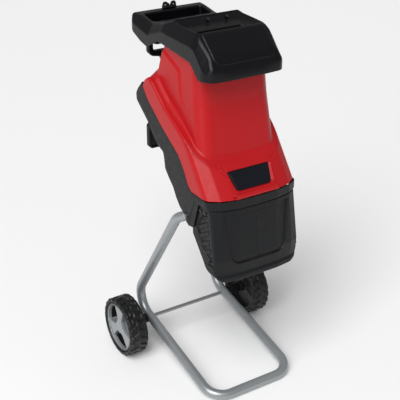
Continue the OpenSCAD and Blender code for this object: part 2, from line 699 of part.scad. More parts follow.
module spindle() color("silver") at_spindle(0) {
    translate([0, 0, -56.5]) cylinder(d = shaft_d, h = 56.5 - 5.5);
    translate([0, 0, -22]) cylinder(d = 30, h = 4);
}

module bearing(z) translate([0, 0, z]) ring(bearing_od - 0.04, shaft_d + running_gap, bearing_w);
module spindle_bearings() color("gray") at_spindle(0) {
    bearing(-33.6);
    bearing(-55.6);
}

// Straight-flanked teeth with backlash
module gear_shape(teeth, turn) {
    pitch_r = gear_mod*teeth/2;
    pitch_angle = 360/teeth;
    root_r = pitch_r - 1.25*gear_mod;
    tip_r = pitch_r + 0.85*gear_mod;
    rotate([0, 0, turn]) polygon([for (i = [0:teeth - 1]) for (p = [
            [root_r, -0.36], [pitch_r, -0.2], [tip_r, -0.1], [tip_r, 0.1], [pitch_r, 0.2], [root_r, 0.36]])
        p[0]*[cos(pitch_angle*(i + p[1])), sin(pitch_angle*(i + p[1]))]]);
}

module drive_gear() color("goldenrod") at_spindle(gear_top - gear_w) difference() {
    union() {
        linear_extrude(gear_w) gear_shape(gear_teeth, 90);
        translate([0, 0, -1.2]) cylinder(d = 18, h = gear_w + 1.2);
    }
    translate([0, 0, -3]) cylinder(d = shaft_d, h = gear_w + 6);
    for (a = [0:60:300]) rotate([0, 0, a]) translate([20, 0, -1]) cylinder(d = 10, h = gear_w + 2);
}

module pinion() color("goldenrod") at_rotor(gear_top - gear_w) difference() {
    linear_extrude(gear_w) gear_shape(pinion_teeth, -90 + 180/pinion_teeth);
    translate([0, 0, -1]) cylinder(d = 8, h = gear_w + 2);
}

plate_bolts = [[-42, 40], [42, 40], [-42, -34], [42, -34]];
module gear_plate() color([0.6, 0.61, 0.62]) difference() {
    union() {
        at_cutter() translate([-52, -46, -53.6]) cube([104, 96, 4]);
        for (y = [spindle_y, motor_y]) at_cutter() translate([0, y, -57]) cylinder(d = 34, h = 9.4);
        for (p = plate_bolts) at_cutter() translate([p[0], p[1], -50]) cylinder(d = 10, h = 21.9);
    }
    for (y = [spindle_y, motor_y]) at_cutter() translate([0, y, -55.6]) cylinder(d = bearing_od, h = 20);
    for (y = [spindle_y, motor_y]) at_cutter() translate([0, y, -60]) cylinder(d = 17, h = 20);
    for (p = plate_bolts) at_cutter() translate([p[0], p[1], -60]) cylinder(d = 4.4, h = 40);
}

module gear_plate_screws() color("silver") for (p = plate_bolts) at_cutter() translate([p[0], p[1], -53.8])
    rotate([180, 0, 0]) screw(8, 2.5, 4, 22);

// ---- Motor ----

module rotor_shaft() color("silver") at_rotor(0) {
    translate([0, 0, -148]) cylinder(d = shaft_d, h = 148 - 46.2);
    translate([0, 0, -46.4]) cylinder(d = 8, h = 13);
}

module rotor_core() color([0.55, 0.4, 0.3]) at_rotor(0) {
    translate([0, 0, -112]) ring(48, shaft_d, 46);
    translate([0, 0, -124]) ring(28, shaft_d, 11);
}

module cooling_fan() color([0.15, 0.15, 0.16]) at_rotor(-136) difference() {
    union() {
        cylinder(d = 88, h = 2);
        cylinder(d = 20, h = 9);
        for (a = [0:36:324]) rotate([0, 0, a]) translate([16, -1, 0]) cube([27, 2, 9]);
    }
    translate([0, 0, -1]) cylinder(d = shaft_d, h = 12);
}

module rotor_bearings() color("gray") at_rotor(0) {
    bearing(-55.6);
    bearing(-147.6);
}

module stator() color([0.45, 0.46, 0.48]) at_rotor(-113) difference() {
    cylinder(r = bulge_r - wall - 0.2, h = 48, $fn = 72);
    translate([0, 0, -1]) cylinder(r = 25, h = 50);
    for (a = [0, 180]) rotate([0, 0, a]) translate([28, -14, -1]) cube([10, 28, 50]);
}

module brush_holders() color("tan") at_rotor(-123) for (side = [-1, 1])
    translate([side > 0 ? 15 : -36, -4, 0]) cube([21, 8, 9]);

frame_tube();
wheel_axle();
axle_spacers();
axle_nuts();
wheel_rim_left();
wheel_rim_right();
tyre_left();
tyre_right();
wheel_cover_left();
wheel_cover_right();
motor_housing();
motor_cover();
motor_cover_screws();
discharge_chute();
chute_screws();
frame_bolts();
frame_nuts();
upper_housing();
hinge_pin();
hopper_cap();
cap_screws();
feed_channel();
badge_plate();
cable_hook();
lock_knob();
lock_stud();
lock_nut();
tamper();
tamper_clip();
switch_housing();
start_button();
stop_button();
reset_button();
inlet_pins();
interlock_switch();
interlock_plunger();
cutting_chamber();
counter_plate();
counter_plate_screws();
cutter_disc();
knives();
knife_screws();
disc_nut();
spindle();
spindle_bearings();
drive_gear();
gear_plate();
gear_plate_screws();
pinion();
rotor_shaft();
rotor_core();
cooling_fan();
rotor_bearings();
stator();
brush_holders();
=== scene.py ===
"""Looks of the garden shredder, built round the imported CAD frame.

The big plastic shells are modelled as distance fields: outlines are extruded, joined, cut and
rounded as numbers on a grid, and the zero surface becomes the mesh. Lengths in the fields are
millimetres: x across, y measured back from the wheel axle, z up from the floor.
"""
import json
import math

import bpy
import numpy as np
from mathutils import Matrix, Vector


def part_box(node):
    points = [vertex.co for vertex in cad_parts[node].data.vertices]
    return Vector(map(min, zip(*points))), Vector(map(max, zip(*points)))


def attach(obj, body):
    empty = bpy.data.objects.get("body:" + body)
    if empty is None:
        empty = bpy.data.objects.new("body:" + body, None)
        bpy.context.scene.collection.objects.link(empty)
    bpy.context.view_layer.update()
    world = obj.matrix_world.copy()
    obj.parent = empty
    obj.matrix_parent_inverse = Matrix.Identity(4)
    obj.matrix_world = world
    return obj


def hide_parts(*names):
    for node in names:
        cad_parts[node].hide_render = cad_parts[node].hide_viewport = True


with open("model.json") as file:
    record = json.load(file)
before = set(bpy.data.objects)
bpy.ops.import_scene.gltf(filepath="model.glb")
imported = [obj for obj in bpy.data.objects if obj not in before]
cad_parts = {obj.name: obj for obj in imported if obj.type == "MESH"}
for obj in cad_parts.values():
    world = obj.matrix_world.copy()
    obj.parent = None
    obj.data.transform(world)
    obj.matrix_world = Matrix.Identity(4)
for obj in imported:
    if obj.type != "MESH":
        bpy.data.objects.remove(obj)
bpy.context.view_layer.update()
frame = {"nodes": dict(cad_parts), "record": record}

MM = 0.001
NODES = frame["nodes"]
FINE = 1.0

axle_low, axle_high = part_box("wheel_axle")
AXLE_Y = (axle_low.y + axle_high.y)/2/MM
AXLE_Z = (axle_low.z + axle_high.z)/2/MM

# ---------------------------------------------------------------- camera, light and floor

AZIMUTH = -32.0
ELEVATION = 26.4
DISTANCE = 2.314
LENS = 81.5
TARGET = Vector((0, (AXLE_Y - 62)*MM, 0.427))


def direction(azimuth, elevation):
    """Unit vector from the object towards a viewer at that azimuth and elevation."""
    turn, rise = math.radians(azimuth), math.radians(elevation)
    return Vector((math.sin(turn)*math.cos(rise), -math.cos(turn)*math.cos(rise), math.sin(rise)))


def add_camera():
    data = bpy.data.cameras.new("camera")
    data.lens = LENS
    data.clip_end = 50
    camera = bpy.data.objects.new("camera", data)
    bpy.context.scene.collection.objects.link(camera)
    towards = direction(AZIMUTH, ELEVATION)
    camera.location = TARGET + towards*DISTANCE
    camera.rotation_euler = (-towards).to_track_quat("-Z", "Y").to_euler()
    bpy.context.scene.camera = camera


def add_light(name, azimuth, elevation, distance, size, power):
    data = bpy.data.lights.new(name, "AREA")
    data.shape = "DISK"
    data.size = size
    data.energy = power
    light = bpy.data.objects.new(name, data)
    bpy.context.scene.collection.objects.link(light)
    towards = direction(azimuth, elevation)
    light.location = Vector((0, 0, 0.5)) + towards*distance
    light.rotation_euler = (-towards).to_track_quat("-Z", "Y").to_euler()


def add_sun(name, azimuth, elevation, strength, spread):
    data = bpy.data.lights.new(name, "SUN")
    data.energy = strength
    data.angle = math.radians(spread)
    light = bpy.data.objects.new(name, data)
    bpy.context.scene.collection.objects.link(light)
    light.rotation_euler = (-direction(azimuth, elevation)).to_track_quat("-Z", "Y").to_euler()


def add_world(strength):
    world = bpy.data.worlds.new("studio")
    world.use_nodes = True
    background = world.node_tree.nodes["Background"]
    background.inputs["Color"].default_value = (1, 1, 1, 1)
    background.inputs["Strength"].default_value = strength
    bpy.context.scene.world = world


def add_floor():
    half = 14.0
    mesh = bpy.data.meshes.new("floor")
    corners = [(-half, -half, 0), (half, -half, 0), (half, half, 0), (-half, half, 0)]
    mesh.from_pydata(corners, [], [(0, 1, 2, 3)])
    floor = bpy.data.objects.new("floor", mesh)
    bpy.context.scene.collection.objects.link(floor)
    white = finish("floor_white", (0.97, 0.97, 0.97), roughness=0.9, mottle=0, uneven=0, specular=0.05)
    mesh.materials.append(white)


# ---------------------------------------------------------------- materials


def finish(name, colour, roughness=0.5, metallic=0.0, mottle=0.04, mottle_scale=14.0, grain=0.0,
           grain_scale=900.0, uneven=0.06, wear=0.0, wear_colour=(0.5, 0.5, 0.5), coat=0.0, specular=0.5,
           brushed=None):
    """Procedural material: mottled colour, uneven roughness, a fine moulded or brushed grain, worn edges."""
    material = bpy.data.materials.new(name)
    material.use_nodes = True
    tree = material.node_tree
    shader = tree.nodes["Principled BSDF"]
    shader.inputs["Metallic"].default_value = metallic
    shader.inputs["Coat Weight"].default_value = coat
    shader.inputs["Coat Roughness"].default_value = 0.12
    shader.inputs["Specular IOR Level"].default_value = specular
    place = tree.nodes.new("ShaderNodeTexCoord").outputs["Object"]
    if brushed:
        stretch = tree.nodes.new("ShaderNodeMapping")
        stretch.inputs["Scale"].default_value = brushed
        tree.links.new(place, stretch.inputs["Vector"])
        place = stretch.outputs["Vector"]

    def noise(scale, detail):
        node = tree.nodes.new("ShaderNodeTexNoise")
        node.inputs["Scale"].default_value = scale
        node.inputs["Detail"].default_value = detail
        tree.links.new(place, node.inputs["Vector"])
        return node.outputs["Fac"]

    def ramp(source, low, high, at_low, at_high):
        node = tree.nodes.new("ShaderNodeMapRange")
        node.inputs["From Min"].default_value = low
        node.inputs["From Max"].default_value = high
        node.inputs["To Min"].default_value = at_low
        node.inputs["To Max"].default_value = at_high
        tree.links.new(source, node.inputs["Value"])
        return node.outputs["Result"]

    def mix(factor, first, second):
        node = tree.nodes.new("ShaderNodeMix")
        node.data_type = "RGBA"
        for socket, value in ((node.inputs[0], factor), (node.inputs[6], first), (node.inputs[7], second)):
            if hasattr(value, "links"):
                tree.links.new(value, socket)
            else:
                socket.default_value = (*value, 1)
        return node.outputs[2]

    darker = tuple(c*(1 - 2*mottle) for c in colour)
    lighter = tuple(min(1, c*(1 + 2*mottle)) for c in colour)
    shade = mix(noise(mottle_scale, 4), darker, lighter)
    if wear:
        edge = tree.nodes.new("ShaderNodeNewGeometry").outputs["Pointiness"]
        shade = mix(ramp(edge, 0.53, 0.62, 0, wear), shade, wear_colour)
    tree.links.new(shade, shader.inputs["Base Color"])
    rough = ramp(noise(mottle_scale*6, 3), 0.3, 0.7, roughness - uneven, roughness + uneven)
    tree.links.new(rough, shader.inputs["Roughness"])
    if grain:
        bump = tree.nodes.new("ShaderNodeBump")
        bump.inputs["Strength"].default_value = grain
        bump.inputs["Distance"].default_value = 0.0004
        tree.links.new(noise(grain_scale, 2), bump.inputs["Height"])
        tree.links.new(bump.outputs["Normal"], shader.inputs["Normal"])
    return material


FINISHES = {
    "tube": dict(colour=(0.33, 0.35, 0.36), roughness=0.34, metallic=0.6, mottle=0.03, grain=0.10,
                 grain_scale=1500),
    "steel": dict(colour=(0.36, 0.37, 0.38), roughness=0.36, metallic=0.9, grain=0.05, brushed=(1, 6, 6)),
    "black_plastic": dict(colour=(0.0045, 0.005, 0.006), roughness=0.46, grain=0.35, specular=0.26),
    "cap_plastic": dict(colour=(0.002, 0.0022, 0.0032), roughness=0.34, grain=0.16, specular=0.24),
    "red_plastic": dict(colour=(0.43, 0.008, 0.011), roughness=0.34, mottle=0.012, grain=0.04,
                        specular=0.22),
    "cover_silver": dict(colour=(0.30, 0.32, 0.33), roughness=0.42, metallic=0.3, grain=0.12,
                         grain_scale=1800),
    "rim_black": dict(colour=(0.008, 0.008, 0.009), roughness=0.45, grain=0.3, specular=0.35),
    "tyre_black": dict(colour=(0.005, 0.005, 0.006), roughness=0.42, mottle=0.1, grain=0.6,
                       grain_scale=500, specular=0.4),
    "badge": dict(colour=(0.004, 0.005, 0.009), roughness=0.3, grain=0.04, specular=0.25),
    "green_button": dict(colour=(0.02, 0.33, 0.08), roughness=0.3, grain=0.08),
    "red_button": dict(colour=(0.55, 0.02, 0.02), roughness=0.3, grain=0.08),
    "cast_alloy": dict(colour=(0.5, 0.51, 0.52), roughness=0.55, metallic=0.9, mottle=0.08, grain=0.6,
                       grain_scale=500),
    "knife_steel": dict(colour=(0.6, 0.61, 0.63), roughness=0.22, metallic=1.0, grain=0.1,
                        brushed=(1, 12, 1)),
    "dark_steel": dict(colour=(0.05, 0.05, 0.055), roughness=0.42, metallic=0.8, grain=0.2),
    "brass": dict(colour=(0.68, 0.50, 0.22), roughness=0.25, metallic=1.0, grain=0.06),
    "gear_brass": dict(colour=(0.60, 0.46, 0.24), roughness=0.32, metallic=1.0, grain=0.1),
    "copper_winding": dict(colour=(0.50, 0.20, 0.07), roughness=0.4, metallic=0.5, grain=0.7,
                           grain_scale=350),
    "inner_plastic": dict(colour=(0.012, 0.012, 0.013), roughness=0.5, grain=0.3, specular=0.3),
    "pale_plastic": dict(colour=(0.50, 0.45, 0.34), roughness=0.5, grain=0.2),
}
materials = {}


def material_of(slot):
    if slot not in materials:
        materials[slot] = finish(slot, **FINISHES[slot])
    return materials[slot]


def paint_cad_nodes():
    for part in frame["record"]["subparts"]:
        mesh = NODES[part["node"]].data
        mesh.materials.clear()
        mesh.materials.append(material_of(part["material_slot"]))


# ---------------------------------------------------------------- distance fields


def both(a, b, r=0.0):
    """Where two solids overlap, with radius r on the edge between them."""
    if np.isscalar(r) and r == 0:
        return np.maximum(a, b)
    return np.minimum(-r, np.maximum(a, b)) + np.hypot(np.maximum(r + a, 0), np.maximum(r + b, 0))


def either(a, b, r=0.0):
    """Two solids joined, with a fillet of radius r."""
    return -both(-a, -b, r)


def without(a, b, r=0.0):
    """Solid a with b cut out of it."""
    return both(a, -b, r)


def rounded(points, default=0.0):
    """Closed outline whose corners, given as (u, v) or (u, v, radius), become arcs that fit their edges."""
    corners = [(Vector(p[:2]), p[2] if len(p) > 2 else default) for p in points]
    outline = []
    for i, (corner, radius) in enumerate(corners):
        before = corners[i - 1][0] - corner
        after = corners[(i + 1) % len(corners)][0] - corner
        half = before.angle(after)/2
        reach = min(radius/math.tan(half), before.length/2, after.length/2) if radius else 0
        if reach < 0.3:
            outline.append(tuple(corner))
            continue
        before.normalize()
        after.normalize()
        radius = reach*math.tan(half)
        centre = corner + (before + after).normalized()*radius/math.sin(half)
        first, last = corner + before*reach - centre, corner + after*reach - centre
        start = math.atan2(first.y, first.x)
        sweep = (math.atan2(last.y, last.x) - start + math.pi) % (2*math.pi) - math.pi
        steps = max(2, math.ceil(abs(sweep)/math.radians(9)))
        for k in range(steps + 1):
            a = start + sweep*k/steps
            outline.append((centre.x + radius*math.cos(a), centre.y + radius*math.sin(a)))
    return outline


def outline_distance(outline, u, v):
    """Signed distance from each (u, v) to a closed outline, negative inside."""
    u, v = np.broadcast_arrays(u, v)
    nearest = np.full(u.shape, 1e18)
    inside = np.zeros(u.shape, bool)
    for (au, av), (bu, bv) in zip(outline, outline[1:] + outline[:1]):
        eu, ev = bu - au, bv - av
        if eu*eu + ev*ev < 1e-9:
            continue
        t = np.clip(((u - au)*eu + (v - av)*ev)/(eu*eu + ev*ev), 0, 1)
        nearest = np.minimum(nearest, (u - au - eu*t)**2 + (v - av - ev*t)**2)
        if ev:
            inside ^= ((av > v) != (bv > v)) & (u < eu*(v - av)/ev + au)
    return np.where(inside, -1, 1)*np.sqrt(nearest)


def curve_value(points, at, blur=6.0):
    """Height of a line through (position, value) points at each place, its corners softened over blur."""
    xs, ys = zip(*points)
    fine = np.arange(xs[0] - 4*blur, xs[-1] + 4*blur, 0.5)
    width = max(1, int(blur/0.5))
    window = np.hanning(2*width + 1)
    heights = np.interp(fine, xs, ys)
    heights = np.convolve(np.pad(heights, width, mode="edge"), window/window.sum(), mode="valid")
    return np.interp(at, fine, heights)


def ramp01(value):
    """0 below 0, 1 above 1, and a smooth step between."""
    t = np.clip(value, 0, 1)
    return t*t*(3 - 2*t)


def capsule(x, y, z, a, b, r):
    """Round bar of radius r from point a to point b."""
    a, b = np.array(a, float), np.array(b, float)
    along = b - a
    off = [c - start for c, start in zip((x, y, z), a)]
    t = np.clip(sum(c*step for c, step in zip(off, along))/(along @ along), 0, 1)
    return np.sqrt(sum((c - step*t)**2 for c, step in zip(off, along))) - r


def block(x, y, z, low, high, r=0.0):
    """Box between two corners, with rounded edges."""
    middle = [(a + b)/2 for a, b in zip(low, high)]
    half = [(b - a)/2 - r for a, b in zip(low, high)]
    d = [np.abs(c - m) - h for c, m, h in zip((x, y, z), middle, half)]
    outside = np.sqrt(sum(np.maximum(c, 0)**2 for c in d))
    return outside + np.minimum(np.maximum(np.maximum(d[0], d[1]), d[2]), 0) - r


EDGES = [(a, b) for a in range(8) for b in range(8) if a < b and (a ^ b) in (1, 2, 4)]


def zero_surface(field, start, step):
    """Vertices and quads of a sampled field's zero surface: one vertex in each cell that it crosses."""
    corner = [field[i:field.shape[0] - 1 + i, j:field.shape[1] - 1 + j, k:field.shape[2] - 1 + k]
              for k in (0, 1) for j in (0, 1) for i in (0, 1)]
    low = np.minimum.reduce(corner)
    high = np.maximum.reduce(corner)
    cells = np.argwhere((low < 0) & (high >= 0))
    values = np.stack([c[tuple(cells.T)] for c in corner], axis=1)
    offsets = np.array([(n & 1, n >> 1 & 1, n >> 2 & 1) for n in range(8)], float)
    total = np.zeros((len(cells), 3))
    count = np.zeros(len(cells))
    for a, b in EDGES:
        crossed = (values[:, a] < 0) != (values[:, b] < 0)
        t = values[crossed, a]/(values[crossed, a] - values[crossed, b])
        total[crossed] += offsets[a] + (offsets[b] - offsets[a])*t[:, None]
        count[crossed] += 1
    points = np.array(start) + (cells + total/count[:, None])*step
    number = np.full(low.shape, -1, np.int64)
    number[tuple(cells.T)] = np.arange(len(cells))
    quads = []
    for axis in range(3):
        size = list(field.shape)
        size[axis] -= 1
        first = np.take(field, range(size[axis]), axis) < 0
        second = np.take(field, range(1, size[axis] + 1), axis) < 0
        for inside_first in (True, False):
            at = np.argwhere((first != second) & (first == inside_first))
            u, v = (axis + 1) % 3, (axis + 2) % 3
            at = at[(at[:, u] > 0) & (at[:, v] > 0) & (at[:, u] < low.shape[u]) & (at[:, v] < low.shape[v])]
            ring = []
            for du, dv in ((-1, -1), (0, -1), (0, 0), (-1, 0)):
                cell = at.copy()
                cell[:, u] += du
                cell[:, v] += dv
                ring.append(number[tuple(cell.T)])
            quad = np.stack(ring, axis=1)
            quads.append(quad if inside_first else quad[:, ::-1])
    quads = np.concatenate(quads)
    return points, quads[(quads >= 0).all(axis=1)]


def slopes_of(solid, points, reach=0.3):
    """Gradient of a distance field at points, from values a little to each side."""
    x, y, z = points.T
    return np.stack([solid(x + reach, y, z) - solid(x - reach, y, z),
                     solid(x, y + reach, z) - solid(x, y - reach, z),
                     solid(x, y, z + reach) - solid(x, y, z - reach)], axis=1)/(2*reach)


def settled(solid, points, step):
    """Points moved along the gradient onto the zero surface itself."""
    for _ in range(2):
        slopes = slopes_of(solid, points)
        size = np.maximum((slopes**2).sum(axis=1), 0.1)
        move = np.clip(solid(*points.T)/size, -0.5*step, 0.5*step)
        points = points - slopes*move[:, None]
    return points


def quad_mesh(name, points, quads):
    mesh = bpy.data.meshes.new(name)
    mesh.vertices.add(len(points))
    mesh.vertices.foreach_set("co", points.astype(np.float32).ravel())
    mesh.loops.add(quads.size)
    mesh.loops.foreach_set("vertex_index", quads.astype(np.int32).ravel())
    mesh.polygons.add(len(quads))
    starts = np.arange(0, quads.size, quads.shape[1], dtype=np.int32)
    mesh.polygons.foreach_set("loop_start", starts)
    mesh.update(calc_edges=True)
    return mesh


def link(name, mesh):
    piece = bpy.data.objects.new(name, mesh)
    bpy.context.scene.collection.objects.link(piece)
    return piece


def apply_modifiers(piece):
    graph = bpy.context.evaluated_depsgraph_get()
    mesh = bpy.data.meshes.new_from_object(piece.evaluated_get(graph))
    piece.modifiers.clear()
    piece.data = mesh


def thin_out(piece, faces):
    """Merges flat stretches until about that many triangles are left."""
    now = sum(len(p.vertices) - 2 for p in piece.data.polygons)
    if now > faces:
        modifier = piece.modifiers.new("thin", "DECIMATE")
        modifier.ratio = faces/now
        apply_modifiers(piece)


def moulded(name, solid, low, high, step, faces, halves=True):
    """Piece from a distance field between two corners. With halves, x < 0 mirrors x > 0."""
    step *= FINE
    start = np.array(low, float)
    if halves:
        start[0] = -step/2
    axes = [np.arange(s, h + step, step) for s, h in zip(start, high)]
    x, y, z = np.meshgrid(*axes, indexing="ij", sparse=True)
    field = np.array(np.broadcast_to(solid(x, y, z), [len(a) for a in axes]), float)
    field[:, :, (0, -1)] = np.maximum(field[:, :, (0, -1)], 0.5)
    field[:, (0, -1)] = np.maximum(field[:, (0, -1)], 0.5)
    field[-1] = np.maximum(field[-1], 0.5)
    points, quads = zero_surface(field, start, step)
    middle = points[:, 0] < step/2 if halves else np.zeros(len(points), bool)
    points = settled(solid, points, step)
    points[middle, 0] = 0
    piece = link(name, quad_mesh(name, points, quads))
    thin_out(piece, faces/2 if halves else faces)
    mesh = piece.data
    points = np.empty(len(mesh.vertices)*3)
    mesh.vertices.foreach_get("co", points)
    points = points.reshape(-1, 3)
    slopes = slopes_of(solid, points)
    if halves:
        middle = points[:, 0] < 0.01
        slopes[middle, 0] = 0
        mesh.calc_loop_triangles()
        triangles = np.array([t.vertices for t in mesh.loop_triangles])
        mirrored = np.arange(len(points))
        mirrored[~middle] = len(points) + np.arange((~middle).sum())
        points = np.concatenate([points, points[~middle]*(-1, 1, 1)])
        slopes = np.concatenate([slopes, slopes[~middle]*(-1, 1, 1)])
        faces = np.concatenate([triangles, mirrored[triangles][:, ::-1]])
        piece.data = mesh = quad_mesh(name, points, faces)
    mesh.vertices.foreach_set("co", ((points + (0, AXLE_Y, 0))*MM).astype(np.float32).ravel())
    mesh.update()
    mesh.shade_smooth()
    slopes /= np.maximum(np.linalg.norm(slopes, axis=1, keepdims=True), 1e-9)
    mesh.normals_split_custom_set_from_vertices(slopes)
    return piece


def dress(piece, body, slot, *nodes):
    """Paints a piece, makes it ride on its body and stand for its CAD nodes."""
    piece.data.materials.clear()
    piece.data.materials.append(material_of(slot))
    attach(piece, body)
    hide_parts(*nodes)
    return piece


# ---------------------------------------------------------------- shared outlines of the body

BODY_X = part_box("motor_housing")[1].x/MM
WALL = 3.0
PIN_R = 2.0
# Seam between the red housing and the black one, from the rear to the front: (y, z, corner radius)
SEAM = [(2, 740), (-27, 708.5, 60), (-92, 661.5, 90), (-165, 618, 60), (-190, 588.5, 50),
        (-207, 558.5, 30), (-222, 547.5, 4), (-400, 547.5)]
ABOVE_SEAM = SEAM + [(-400, 960), (120, 960), (60, 803)]
SEAM_TILT = math.radians(36.6)
CUTTER = (-110, 649)
SLOPE = math.radians(37.2)
SLOPE_FOOT = (-316.5, 548)
FRONT_CURVE = [(0, 0), (20, 0), (52, 1), (95, 10), (118, 23), (124, 30), (140, 60)]
HINGE = (-310, 552.5)
LOCK = (22, 752)
LOCK_TILT = math.atan((LOCK[1] - HINGE[1])/(LOCK[0] - HINGE[0]))


def turned(y, z, origin, angle):
    """Coordinates of (y, z) in a frame at origin, tilted back by angle."""
    y, z = y - origin[0], z - origin[1]
    return y*math.cos(angle) + z*math.sin(angle), z*math.cos(angle) - y*math.sin(angle)


def front_distance(x, depth, points=FRONT_CURVE, blur=5.0):
    """Distance in front of a curved front whose depth grows with |x|."""
    at = curve_value(points, x, blur)
    slope = (curve_value(points, x + 0.5, blur) - curve_value(points, x - 0.5, blur))
    return (at - depth)/np.hypot(1, slope)


# ---------------------------------------------------------------- red upper housing

SHOULDER = [(-355, 500), (-316.5, 548), (-270, 606, 90), (-233, 632, 90), (-190, 664, 120),
            (-143, 691, 120), (-98, 717, 120), (-42, 761, 22), (-27, 768, 14), (-8, 757, 14),
            (2, 740, 10), (5, 700), (5, 500)]
COLUMN = [(-12, 700), (-26, 755, 40), (-33, 787, 60), (-43, 820, 60), (-58, 866), (-69, 900),
          (-198, 900), (-205, 866, 30), (-216, 794, 90), (-221, 745, 90), (-247, 612), (-235, 590),
          (-60, 640)]
# Raised rear part of the column's side, in side view
RAISED = [(0, 850), (-61, 838, 8), (-81, 830), (-107, 820), (-132, 808, 9), (-139, 772, 60), (-147, 741, 8),
          (-166, 728, 10), (-150, 712), (0, 690)]
RAISE = 3.6
COLUMN_TOP = 866
# Half width of the column at two heights
COLUMN_HALF = [(560, 109), (880, 92)]
# How much the shoulder's middle stands above its sides
SHOULDER_RISE = 22
POCKET_DEPTH = 8.0
POCKET_FLARE = 0.9
LUG_X = (18, 44)
SEAM_GAP = 0.7


def badge_half(up):
    """Half width of the badge at a height up the slope."""
    return 49 + 0.195*(up - 28)


def upper_housing_solid(x, y, z):
    rise = SHOULDER_RISE*ramp01((118 - x)/44)*ramp01((y + 230)/120)*ramp01((z - 600)/60)
    side = outline_distance(rounded(SHOULDER), y, z - rise)
    depth, up = turned(y, z, SLOPE_FOOT, -SLOPE)
    shoulder = both(side, x - BODY_X, 6)
    shoulder = both(shoulder, front_distance(x, depth), 5)
    lift = RAISE*np.clip(-outline_distance(rounded(RAISED), y, z)/8, 0, 1)*ramp01((z - 700)/60)
    width = np.interp(z, *zip(*COLUMN_HALF)) + lift
    crown = 3.5*(x/90)**2*ramp01((-150 - y)/30)
    round_corner = 8 + 22*ramp01((-110 - y)/50)
    column = both(outline_distance(rounded(COLUMN), y, z) + crown, x - width, round_corner)
    body = either(shoulder, column, 4)
    above_floor = POCKET_DEPTH - depth
    half = badge_half(up) + POCKET_FLARE*above_floor
    pocket = both(both((x - half)*0.74, 20.6 - up - 0.5*above_floor, 9), up - 69.4, 3)
    pocket = both(pocket, depth - POCKET_DEPTH, 1.5)
    inside = without(either(shoulder, column) + WALL, pocket - WALL)
    body = without(body, pocket, 2.0)
    kept = both(both(body, outline_distance(rounded(ABOVE_SEAM), y, z), 0.9), z - COLUMN_TOP)
    shell = without(kept, inside, 0.5)
    y_hinge, z_hinge = y - HINGE[0], z - HINGE[1]
    from_pin = np.hypot(y_hinge, z_hinge)
    roll = both(from_pin - 6.5, x - 58, 1)
    shell = either(shell, roll, 1.5)
    behind = np.maximum(y_hinge - 15.4, np.maximum(z_hinge, -14 - z_hinge))
    gap = np.maximum(np.minimum(from_pin - 4.7, behind), -3.4 - y_hinge)
    for lug in LUG_X:
        shell = without(shell, np.maximum(np.abs(x - lug) - 3.6, gap))
    shell = without(shell, from_pin - PIN_R - 0.5)
    y_lock, z_lock = turned(y, z, LOCK, LOCK_TILT)
    plate = block(x, y_lock, z_lock, (-28, -30, 0), (28, 18, 6), 1.5)
    return without(either(shell, plate, 2), np.hypot(x, y_lock) - 5, 0.5)


def make_upper_housing():
    low, high = (0, -322, 538), (BODY_X + 3, 52, COLUMN_TOP + 4)
    piece = moulded("red_housing", upper_housing_solid, low, high, 1.7, 90000)
    return dress(piece, "hopper", "red_plastic", "upper_housing")


# ---------------------------------------------------------------- hopper cap

CAP_TOP = [(-268, 700), (-267, 820, 8), (-262, 838, 30), (-243, 866, 60), (-200, 903, 14),
           (-187, 908, 6), (-93, 915, 12), (-55, 899, 30), (8, 884, 60), (60, 892, 30), (88, 893, 9),
           (97.5, 884, 6), (97.5, 700)]
CAP_BOTTOM = [(-300, 814), (-247, 813, 8), (-221, 811, 10), (-187, 843, 12), (-44, 856, 12),
              (-20, 844, 14), (8, 829, 16), (40, 836, 20), (140, 876), (140, 1000), (-300, 1000)]
RIDGE = [(-300, 800), (-262, 815), (-239, 836), (-206, 872), (-190, 877), (-62, 881), (-21, 866), (1, 857),
         (60, 868), (120, 880)]
CAP_HALF = 106.5
CAP_PLAN = [(-CAP_HALF, -300), (CAP_HALF, -300), (CAP_HALF, 97.5, 28), (-CAP_HALF, 97.5, 28)]
CAP_FRONT = [(0, 0), (40, 0), (88, 4), (100, 13), (106.5, 31), (120, 70)]
CAP_PANEL = [(-82, 847, 20), (82, 847, 20), (82, 960), (-82, 960)]
HANDLE_GAP = [(-80, 12, 9), (80, 12, 9), (80, 65, 9), (-80, 65, 9)]
FUNNEL = [(-92, 960), (-95, 911), (-112, 898, 8), (-134, 894, 5), (-172, 895, 5), (-190, 903, 8), (-206, 960)]
FEED_Y = -158


def cap_block(x, y, z):
    """The cap's outer form, running on downwards."""
    panel = outline_distance(rounded(CAP_PANEL), x, z)
    bump = 1.6*ramp01(-panel/2.5)*ramp01((-185 - y)/12)
    side = outline_distance(rounded(CAP_TOP), y, z) - bump
    width = CAP_HALF - 0.55*np.maximum(z - curve_value(RIDGE, y, 6), 0)
    form = both(side, (x - width)*0.92, 5)
    plan = outline_distance(rounded(CAP_PLAN), x, y)
    corner = front_distance(x, y + 267, CAP_FRONT, 8)
    return both(both(form, plan, 3), corner, 3)


def hopper_cap_solid(x, y, z):
    form = cap_block(x, y, z)
    opening = outline_distance(rounded(HANDLE_GAP), x, y)
    inner = outline_distance(rounded(FUNNEL), y, z)
    funnel = both(inner, x - 78 - 0.65*np.maximum(z - 893, 0), 9)
    slot = np.maximum(np.hypot(np.maximum(x - 51, 0), y - FEED_Y) - 16, 866 - z)
    form = without(form, opening, 4)
    form = without(form, funnel, 3.5)
    hollow = form + WALL + 0.5
    form = without(form, slot, 2.5)
    hollow = without(hollow, slot - WALL)
    kept = both(form, outline_distance(rounded(CAP_BOTTOM), y, z), 1.2)
    return without(kept, hollow, 0.6)


def make_hopper_cap():
    piece = moulded("feed_cap", hopper_cap_solid, (0, -272, 806), (110, 101, 919), 1.6, 90000)
    return dress(piece, "hopper", "cap_plastic", "hopper_cap")


# ---------------------------------------------------------------- black lower housing

